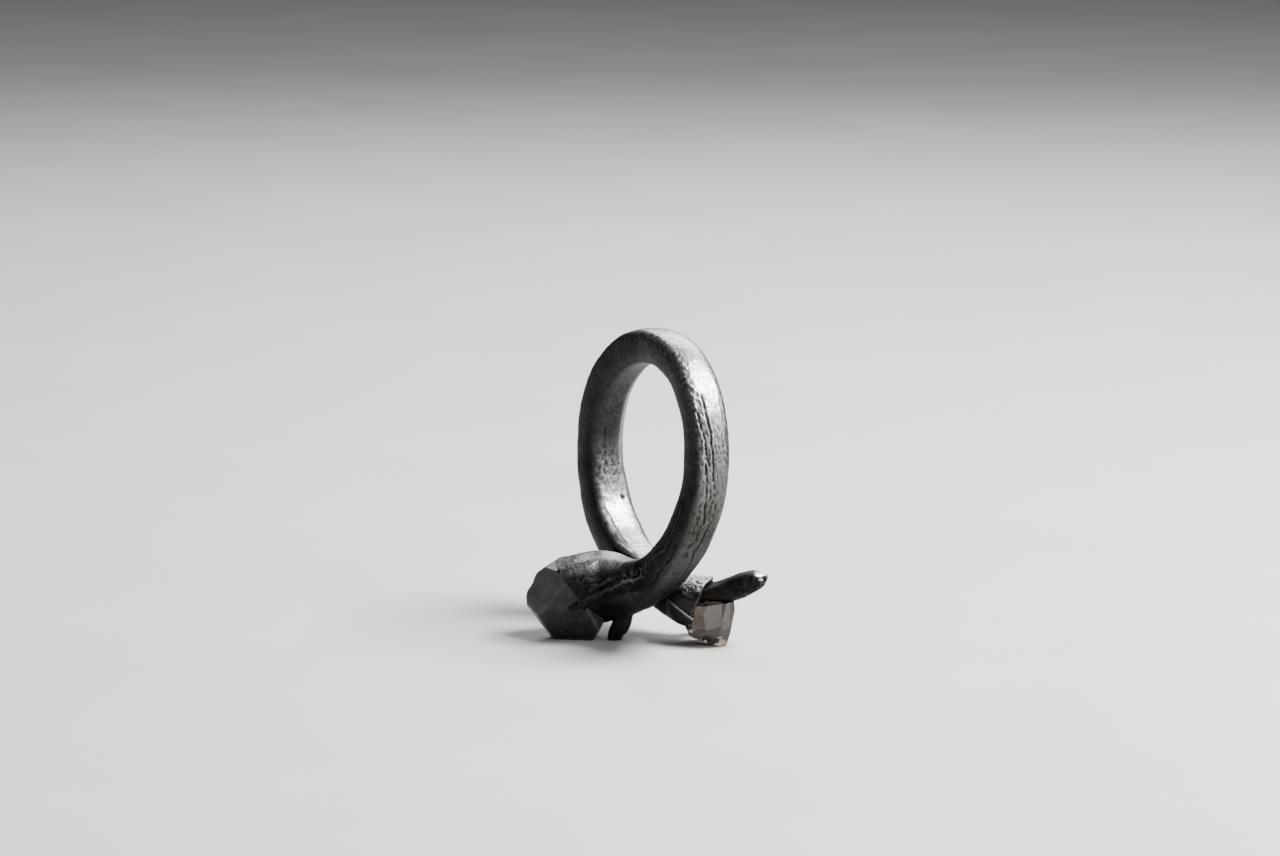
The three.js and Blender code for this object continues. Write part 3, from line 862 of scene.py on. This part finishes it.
LEAF = [
    bar(at(3.4, 3.2, 4.75), 0.75, 1.9, 4),
    bar(at(5.2, 3.9, 4.7), 0.72, 1.85, 4),
    bar(at(7.0, 4.35, 5.02), 1.1, 1.6, 4),
    bar(at(8.5, 4.8, 5.72), 1.05, 1.3, 5.5),
    bar(at(9.2, 5.05, 6.0), 0.9, 1.0, 5.5),
    bar(at(9.65, 5.15, 6.22), 0.58, 0.7, 4),
    bar(at(10.0, 5.3, 6.47), 0.22, 0.3, 2.5),
]
FOOT = [
    bar(at(-2.6, 2.3, 2.6), 0.95, 1.1, 4),
    bar(at(-2.8, 2.25, 1.4), 0.85, 1.0, 4),
    bar(at(-3.3, 2.2, 0.5), 0.68, 0.9, 4),
    bar(at(-3.4, 2.2, -0.4), 0.66, 0.85, 4),
]
REAR_STUB = [
    bar(at(3.3, 1.7, 2.9), 0.8, 0.8, 4),
    bar(at(3.7, 1.0, 1.5), 0.72, 0.75, 4),
    bar(at(3.95, 0.75, 0.5), 0.6, 0.65, 4),
    bar(at(4.0, 0.72, -0.4), 0.55, 0.6, 4),
]
CLAW_FRONT = [
    bar(at(-3.9, 3.6, 4.7), 0.36, 0.4, 3),
    bar(at(-4.9, 4.0, 4.35), 0.4, 0.4, 3),
    bar(at(-5.6, 4.1, 4.0), 0.42, 0.38, 3),
    bar(at(-6.3, 4.16, 3.62), 0.4, 0.36, 3),
    bar(at(-7.0, 4.1, 3.22), 0.33, 0.3, 3),
    bar(at(-7.4, 4.02, 2.95), 0.2, 0.18, 2.5),
]
CLAW_REAR = [
    bar(at(-4.3, -0.6, 4.6), 0.42, 0.42, 3),
    bar(at(-5.6, -1.55, 4.1), 0.5, 0.5, 3),
    bar(at(-6.8, -1.75, 3.6), 0.5, 0.5, 3),
    bar(at(-8.0, -1.6, 3.1), 0.45, 0.5, 3),
    bar(at(-8.8, -1.15, 2.8), 0.25, 0.3, 2.5),
]
STONE_CENTRE = [-8.1, 1.5, 3.55]
STONE_PLANES = [
    [0, 0, -1, 3.55],
    [-0.654, 0.678, 0.335, 2.29],
    [-0.079, 0.989, -0.122, 2.43],
    [-0.1, 0.93, -0.35, 2.4],
    [-0.78, 0.25, -0.57, 2.8],
    [-0.99, -0.1, 0.05, 3.14],
    [-0.86, -0.2, 0.44, 2.96],
    [-0.56, -0.2, 0.79, 3.1],
    [0, 0.1, 0.99, 2.95],
    [-0.2, -0.97, 0.1, 2.9],
    [-0.75, -0.62, 0.2, 2.95],
    [-0.2, -0.82, -0.5, 2.8],
    [-0.6, -0.5, -0.6, 2.75],
    [0.1, 0.75, 0.65, 3.3],
    [1, 0, 0, 3.7],
    [0.866, 0, -0.5, 4.24],
    [0.7, 0.7, 0.1, 3.45],
    [0.7, -0.7, 0, 3.3],
    [0.7, 0, 0.7, 3.0],
]
CRYSTAL_CENTRE = [5.2, 4.3, 2.6]
CRYSTAL_PLANES = [
    [0, 0, -1, 2.6],
    [-0.32, 0, -0.947, 2.27],
    [0.949, 0, -0.316, 1.96],
    [0.982, 0, -0.189, 1.84],
    [0.985, -0.15, 0.1, 1.9],
    [-0.985, 0, -0.12, 2.62],
    [-0.897, 0, -0.441, 2.55],
    [0.1, 0.99, 0.05, 1.75],
    [-0.66, 0.74, -0.05, 1.88],
    [0.64, 0.76, -0.1, 1.85],
    [0.05, 0.8, -0.6, 2.15],
    [-0.1, -0.99, 0, 1.75],
    [-0.62, -0.78, 0, 1.9],
    [0.62, -0.78, 0, 1.9],
    [0.05, -0.85, -0.52, 2.2],
    [-0.1, 0, 0.995, 1.3],
]


def stone_hull(name, grow=0.0):
    return hull_mesh(name, hull_planes(STONE_CENTRE, STONE_PLANES, grow))


def crystal_hull(name, grow=0.0):
    return hull_mesh(name, hull_planes(CRYSTAL_CENTRE, CRYSTAL_PLANES, grow))


def cast_skin(V, seed):
    """The skin of a hand-forged casting: slow lumps, then grain."""
    return 0.05 * fbm(V / 2.2, 2, seed=seed) + 0.03 * fbm(V / 0.9, 3, seed=seed + 3) + 0.014 * fbm(V / 0.36, 3, seed=seed + 6)


def build_hood():
    cut = [half_space(-0.86, 0, -0.51, 3.85, ragged=0.22, seed=17)]
    stations = [grown([s], g)[0] for s, g in zip(HOOD, (0.10, 0.10, 0.10, 0.06, 0.02, 0.0))]
    me = carve(swept("hood", stations + [HOOD_TUCK]), "stone_cup_forged", cut, voxel=0.062)
    me = largest_part(me)
    relax(me, 2)
    fold = np.linalg.norm((coords(me) - row([(-5.0, 4.1, 5.2)])[0]) / np.array([1.5, 1.5, 1.9]), axis=1)
    relax(me, 130, where=smooth01(-fold, -1.25, -0.6))
    V = coords(me)
    own = smooth01(-((V - OFF) @ np.array(at(1, 0, 0))), 2.2, 3.4)  # the hood's own marks fade before the neck
    marks, crumple = neck_marks(V)
    D = skin(V) + marks + own * 0.5 * cast_skin(V, 201)
    for i, (pts, half, amt) in enumerate([
        ([(-6.3, 4.2, 5.6), (-6.08, 4.1, 5.85), (-5.55, 4.1, 5.75), (-4.67, 4.05, 5.95)], 0.14, 0.13),
        ([(-5.9, 4.3, 4.75), (-5.55, 4.3, 4.95), (-4.85, 4.2, 5.25), (-4.14, 4.2, 5.79), (-3.61, 4.3, 6.08)], 0.15, 0.15),
        ([(-4.9, 4.3, 4.6), (-4.67, 4.3, 4.71), (-3.96, 4.5, 5.04), (-3.08, 4.7, 5.54), (-2.55, 4.9, 6.14)], 0.14, 0.13),
        ([(-6.0, 4.2, 5.3), (-5.3, 4.2, 5.45), (-4.5, 4.1, 5.6), (-3.9, 4.1, 6.0)], 0.12, -0.14),
        ([(-5.0, 4.3, 4.95), (-4.3, 4.3, 5.3), (-3.5, 4.5, 5.75), (-2.9, 4.6, 6.2)], 0.12, -0.14),
    ]):
        D += stroke(V, row(pts), half, amt * 0.55, seed=220 + 3 * i)
    # granular top
    nrm = normals(me)
    top = smooth01(nrm[:, 2], 0.45, 0.8)
    D += own * top * (0.04 * fbm(V / 0.2, 3, 0.6, seed=241) + 0.02 * fbm(V / 0.7, 2, seed=243))
    front = smooth01(nrm @ np.array(at(0, 1, 0)), 0.3, 0.7) * smooth01(V[:, 2], 4.3, 5.0)
    D += own * front * (1 - top) * (0.045 * fbm(V / 0.6, 3, 0.5, seed=251))
    displace(me, D)
    V = coords(me)
    tone, neck_shade = neck_tone(normals(me), crumple)
    near = smooth01((V - OFF) @ np.array(at(1, 0, 0)), -4.4, -2.0)
    warm = smooth01((V - OFF) @ np.array(at(1, 0, 0)), -8.0, -5.8)
    # painted highlight on the upward faces, strongest towards the stone end, and on the crumple
    highlight_and_rub = 0.03 + (0.2 + 0.8 * warm) * top * (0.8 + 0.6 * fbm(V / 0.8, 3, seed=261)) + 0.04 * front + 0.25 * crumple
    store(me, "wear_and_highlight", np.clip(highlight_and_rub * (1 - near) + tone * near, 0, 1))
    # painted shade on faces not turned up, heavier low down, and on the top away from the stone end
    painted_shade = np.clip(0.6 * (1 - top) * smooth01(-V[:, 2], -6.4, -4.6) + 0.4 * (1 - top) + 0.35 * top * (1 - warm), 0, 0.9) * (1 - 0.8 * crumple)
    painted_shade = painted_shade * (1 - near) + neck_shade * near
    return finish_piece(me, "stone_cup_forged", "stone_cup", METAL, painted_shade=painted_shade)


def build_stone():
    chips = []
    for k, (u, w, z, r) in enumerate([
        (-5.3, 4.3, 0.1, 0.5), (-5.0, 4.5, 1.6, 0.35), (-6.2, 4.75, -0.15, 0.5), (-9.2, 4.0, -0.1, 0.55),
        (-10.3, 2.9, 1.2, 0.55), (-11.3, 1.6, 3.1, 0.45), (-11.1, 1.3, 4.9, 0.5), (-10.0, 0.9, 6.4, 0.5), (-7.3, 4.4, 3.9, 0.35),
        (-8.5, 4.3, 2.2, 0.4), (-9.4, 3.75, 1.6, 0.35), (-11.2, 0.2, 2.2, 0.5), (-10.9, -0.6, 5.2, 0.5), (-8.0, 4.55, 1.0, 0.3),
    ]):
        chips.append(blob(f"chip{k}", row([(u, w, z)])[0], (r, r, r * 0.8), 320 + k, 0.5))
    me = largest_part(carve(stone_hull("stone"), "dark_stone_rubbed", chips, voxel=0.075))
    relax(me, 9)
    V = coords(me)
    f, b = curvature_marks(me, 2, 10)
    edge = np.clip(b * 0.8, 0, 1)
    D = 0.06 * fbm(V / 1.5, 3, seed=301) - 0.018 + 0.012 * fbm(V / 0.35, 3, seed=303)
    worn = smooth01(fbm(V / 0.55, 3, seed=305), 0.02, 0.3)
    D -= edge * worn * 0.07
    D = D * smooth01(V[:, 2], 0.03, 0.35)
    displace(me, D)
    nrm = normals(me)
    # painted highlight on the upper-left facet and on upward faces
    lit_facet = smooth01(nrm @ np.array(at(-0.654, 0.678, 0.335)), 0.80, 0.96) + 0.15 * smooth01(nrm[:, 2], 0.5, 0.8)
    store(me, "wear_and_highlight", np.clip(lit_facet * (0.75 + 0.9 * fbm(V / 1.1, 3, 0.6, seed=307)), 0, 1))
    return finish_piece(me, "dark_stone_rubbed", "dark_stone", STONE)


def build_crystal():
    chips = []
    for k, (u, w, z, r) in enumerate([
        (2.75, 4.2, 1.75, 0.22), (3.15, 5.4, 0.95, 0.28), (3.6, 3.4, 0.75, 0.3), (7.1, 4.9, 1.4, 0.20), (6.7, 5.5, 0.6, 0.24), (7.2, 3.7, 2.2, 0.22),
        (5.0, 5.75, 0.3, 0.25), (6.4, 5.1, 0.0, 0.22), (4.3, 5.7, 1.0, 0.16), (7.05, 5.35, 2.3, 0.17),
        (7.1, 5.0, 2.95, 0.15), (6.95, 5.2, 1.7, 0.17), (6.75, 5.3, 1.1, 0.18), (6.6, 5.0, 0.5, 0.2), (5.7, 5.65, 0.2, 0.18),
        (4.5, 5.6, 0.4, 0.18), (3.8, 5.35, 0.7, 0.2), (3.35, 4.6, 0.6, 0.16), (3.5, 5.5, 1.6, 0.14), (5.4, 5.95, 1.0, 0.12),
    ]):
        c = blob(f"chip{k}", row([(u, w, z)])[0], (r, r, r), 340 + k, 0.6)
        chips.append(c)
    for k, (u, w, z, r, thick) in enumerate([(4.4, 4.6, 1.3, 0.55, 0.03), (5.9, 4.7, 2.1, 0.5, 0.03), (5.2, 4.0, 0.8, 0.6, 0.04), (6.3, 4.4, 1.2, 0.35, 0.03)]):
        c = blob(f"veil{k}", (0, 0, 0), (r, r * 0.7, thick), 380 + k, 0.35)
        turn = Matrix.Rotation(0.9 + 1.7 * k, 3, "X") @ Matrix.Rotation(0.4 + 2.3 * k, 3, "Z")
        set_coords(c, coords(c) @ np.array(turn) + row([(u, w, z)])[0])
        chips.append(c)
    me = carve(crystal_hull("crystal"), "crystal_chipped", chips)
    o = link("crystal_work", me)
    bv = o.modifiers.new("bevel", "BEVEL")
    bv.width, bv.segments, bv.limit_method, bv.angle_limit = 0.035, 1, "ANGLE", math.radians(12)
    me = baked(o, "clear_crystal_cut")
    store(me, "edge", np.zeros(len(me.vertices)))
    return finish_piece(me, "clear_crystal_cut", "clear_crystal", CRYSTAL, smooth=False, marks=False)


def build_collar():
    cut = [half_space(1, 0.272, -0.381, 3.909, ragged=0.12, seed=23)]
    tuck = bar(at(1.15, 0.75, 4.15), 1.65, 1.5)
    me = largest_part(carve(swept("collar", [tuck] + COLLAR), "crystal_collar_forged", cut, voxel=0.06))
    relax(me, 2)
    V = coords(me)
    D = cast_skin(V, 401) - 0.012
    D += stroke(V, row([(2.2, 5.3, 5.0), (2.6, 4.96, 4.8), (3.0, 5.2, 4.72), (3.4, 5.45, 4.62), (3.9, 5.6, 4.6)]), 0.16, 0.16, seed=411)
    D += stroke(V, row([(2.2, 5.2, 5.35), (2.9, 5.1, 5.2), (3.6, 5.3, 5.1)]), 0.16, -0.10, seed=414)
    nrm = normals(me)
    top = smooth01(nrm[:, 2], 0.35, 0.7)
    zone = top * smooth01((V - OFF) @ np.array(at(1, 0, 0)), 1.9, 3.3)
    D += zone * (0.13 * fbm(V / 0.42, 3, 0.6, seed=421) + 0.08 * ridged(V / 0.7, 2, seed=423) - 0.04)
    displace(me, D)
    # painted highlight on the upward faces of the collar's outer part, painted shade elsewhere
    store(me, "wear_and_highlight", np.clip(0.04 + 0.6 * zone, 0, 1))
    return finish_piece(me, "crystal_collar_forged", "crystal_collar", METAL, painted_shade=0.45 * (1 - zone))


def grown(stations, grow):
    out = []
    for s in stations:
        s = list(s)
        for i in range(3, 11):
            s[i] += grow
        out.append(s)
    return out


def build_petal():
    cut = [
        half_space(0.645, 0, 1, 4.91), half_space(1, -1, 0, 0.5), half_space(1, 0, 0, 3.95), half_space(-1, 0, 0, -1.2), half_space(1, 0.272, -0.381, 4.1),
        swept("collar_room", grown(COLLAR, -0.08)),
        crystal_hull("room", 0.02),
    ]
    me = largest_part(carve(swept("petal", [grown([s], g)[0] for s, g in zip([bar(at(1.15, 0.75, 4.15), 1.65, 1.5)] + COLLAR, (-0.1, -0.06, 0.06, 0.17, 0.17))]), "crystal_petal_lower_forged", cut, voxel=0.05))
    relax(me, 1)
    V = coords(me)
    displace(me, 0.6 * cast_skin(V, 501) - 0.01)
    V = coords(me)
    # painted highlight in a thin line along the cut rim, painted shade elsewhere
    rim = np.exp(-(((4.91 - (V @ np.array([0.645 * CU, 0.645 * SU, 1.0]) - 0.645 * (OFF[0] * CU + OFF[1] * SU))) / 0.2) ** 2))
    store(me, "wear_and_highlight", np.clip(0.03 + 0.8 * rim, 0, 1))
    return finish_piece(me, "crystal_petal_lower_forged", "crystal_petal_lower", METAL, painted_shade=0.6 * (1 - rim))


def build_leaf():
    chips = []
    for i, (u, w, z, r) in enumerate([
        (9.75, 5.6, 5.45, 0.34), (9.45, 5.65, 5.1, 0.26), (9.05, 5.9, 4.68, 0.34), (8.5, 6.05, 4.36, 0.27), (7.9, 6.1, 4.05, 0.32),
        (7.3, 6.2, 3.85, 0.26), (10.0, 5.6, 6.0, 0.2), (8.9, 5.3, 4.6, 0.34), (8.3, 5.3, 4.35, 0.28), (6.6, 6.1, 3.7, 0.25),
    ]):
        chips.append(blob(f"chip{i}", row([(u, w, z)])[0], (r, r, r), 600 + i))
    cut = chips
    me = largest_part(carve(swept("leaf", LEAF, up=(0, 0, -1)), "leaf_tongue_forged", cut, voxel=0.055))
    relax(me, 1)
    V = coords(me)
    D = 0.8 * cast_skin(V, 601) + 0.07 * fbm(V / 1.3, 2, seed=605) - 0.02
    outer_end = smooth01((V - OFF) @ np.array(at(1, 0, 0)), 7.4, 9.0)
    D = D - outer_end * (np.maximum(D, 0.0) + 0.04)
    nrm = normals(me)
    facing = nrm @ np.array(at(0, 1, 0))
    low = smooth01(facing - nrm[:, 2], 0.2, 0.9) * smooth01((V - OFF) @ np.array(at(1, 0, 0)), 6.6, 7.6)
    D += low * (0.12 * fbm(V / 0.75, 3, 0.55, seed=611) - 0.01)
    displace(me, D)
    V = coords(me)
    # painted highlight on the upward faces of the tip, painted shade on the rest
    tip = smooth01((V - OFF) @ np.array(at(1, 0, 0)), 8.7, 9.3)
    store(me, "wear_and_highlight", np.clip(0.03 + 0.8 * tip * smooth01(normals(me)[:, 2], 0.2, 0.6), 0, 1))
    return finish_piece(me, "leaf_tongue_forged", "leaf_tongue", METAL, painted_shade=0.95 * (1 - tip * smooth01(normals(me)[:, 2], 0.2, 0.6)))


def build_small(name, node, stations, up, cutters, seed, shine=0.05, voxel=0.05):
    me = largest_part(carve(swept(node, stations, up=up, points=40), name, cutters, voxel=voxel))
    relax(me, 1)
    V = coords(me)
    D = 0.7 * cast_skin(V, seed)
    D = np.where(V[:, 2] < 0.15, 0, D)
    displace(me, D)
    # an even low highlight value and an even painted shade of 0.9 over the whole piece
    store(me, "wear_and_highlight", np.full(len(V), shine))
    return finish_piece(me, name, node, METAL, painted_shade=np.full(len(V), 0.9))


build_shank()
build_hood()
build_stone()
build_crystal()
build_collar()
build_petal()
build_leaf()
GROUND = (0, 0, -1, 0)
AWAY = (CU, SU, 0)
build_small("cup_claw_front_forged", "cup_claw_front", CLAW_FRONT, (0, 0, -1), [], 701, 0.0)
build_small("cup_claw_rear_forged", "cup_claw_rear", CLAW_REAR, (0, 0, -1), [stone_hull("room", 0.02)], 711)
build_small("cup_foot_claw_forged", "cup_foot_claw", FOOT, AWAY, [half_space(*GROUND), stone_hull("room", 0.02)], 721)
build_small("crystal_petal_rear_forged", "crystal_petal_rear", REAR_STUB, AWAY, [half_space(*GROUND), crystal_hull("room", 0.02)], 731)

# ---- floor, light, camera ----
bm = bmesh.new()
bmesh.ops.create_grid(bm, x_segments=2, y_segments=2, size=1.2)
me = bpy.data.meshes.new("floor")
bm.to_mesh(me)
bm.free()
me.materials.append(floor_material())
floor = link("floor", me)

world = bpy.data.worlds.new("studio")
bpy.context.scene.world = world
world.use_nodes = True
bg = world.node_tree.nodes["Background"]
bg.inputs[0].default_value = (0.60, 0.62, 0.65, 1)
bg.inputs[1].default_value = 0.10

VIEW_TURN, VIEW_TILT = math.radians(62), math.radians(11)
RIGHT = Vector((math.cos(VIEW_TURN), math.sin(VIEW_TURN), 0))
BACK = Vector((math.sin(VIEW_TURN) * math.cos(VIEW_TILT), -math.cos(VIEW_TURN) * math.cos(VIEW_TILT), math.sin(VIEW_TILT)))
UPV = BACK.cross(RIGHT)
CENTRE = Vector((0.0, 0.0, 0.0137))


def softbox(name, direction, dist, size, power, colour=(1, 1, 1)):
    """direction is (right, towards the camera, up) as the camera sees it."""
    d = (RIGHT * direction[0] + Vector((BACK.x, BACK.y, 0)).normalized() * direction[1] + Vector((0, 0, 1)) * direction[2]).normalized()
    li = bpy.data.lights.new(name, "AREA")
    li.shape, li.size, li.size_y = "RECTANGLE", size[0], size[1]
    li.energy, li.color = power, colour
    o = bpy.data.objects.new(name, li)
    o.location = CENTRE + d * dist
    o.rotation_mode = "QUATERNION"
    o.rotation_quaternion = (-d).to_track_quat("-Z", "Y")
    bpy.context.scene.collection.objects.link(o)
    return o


softbox("key", (0.55, 0.02, 0.82), 0.32, (0.15, 0.15), 4.5)
softbox("key_low", (0.80, 0.40, 0.36), 0.36, (0.16, 0.14), 0.8)
softbox("rim", (0.10, -0.80, 0.60), 0.34, (0.20, 0.12), 0.8)
softbox("fill", (-0.95, 0.02, 0.32), 0.40, (0.16, 0.12), 0.12)

# the view the ring was seen from
K_MM, HUB = 0.0884, 15.62
W0 = RIGHT * ((640 - 653) * K_MM) + Vector((0, 0, HUB + 33 * K_MM / math.cos(VIEW_TILT)))
loc = (W0 + BACK * 400.0 + Vector(OFF)) * MM
cam = bpy.data.cameras.new("camera")
cam.lens, cam.sensor_width = 127.26, 36
cam.clip_start, cam.clip_end = 0.01, 10
co = bpy.data.objects.new("camera", cam)
co.location = loc
co.rotation_mode = "QUATERNION"
co.rotation_quaternion = (-BACK).to_track_quat("-Z", "Y")
bpy.context.scene.collection.objects.link(co)
bpy.context.scene.camera = co
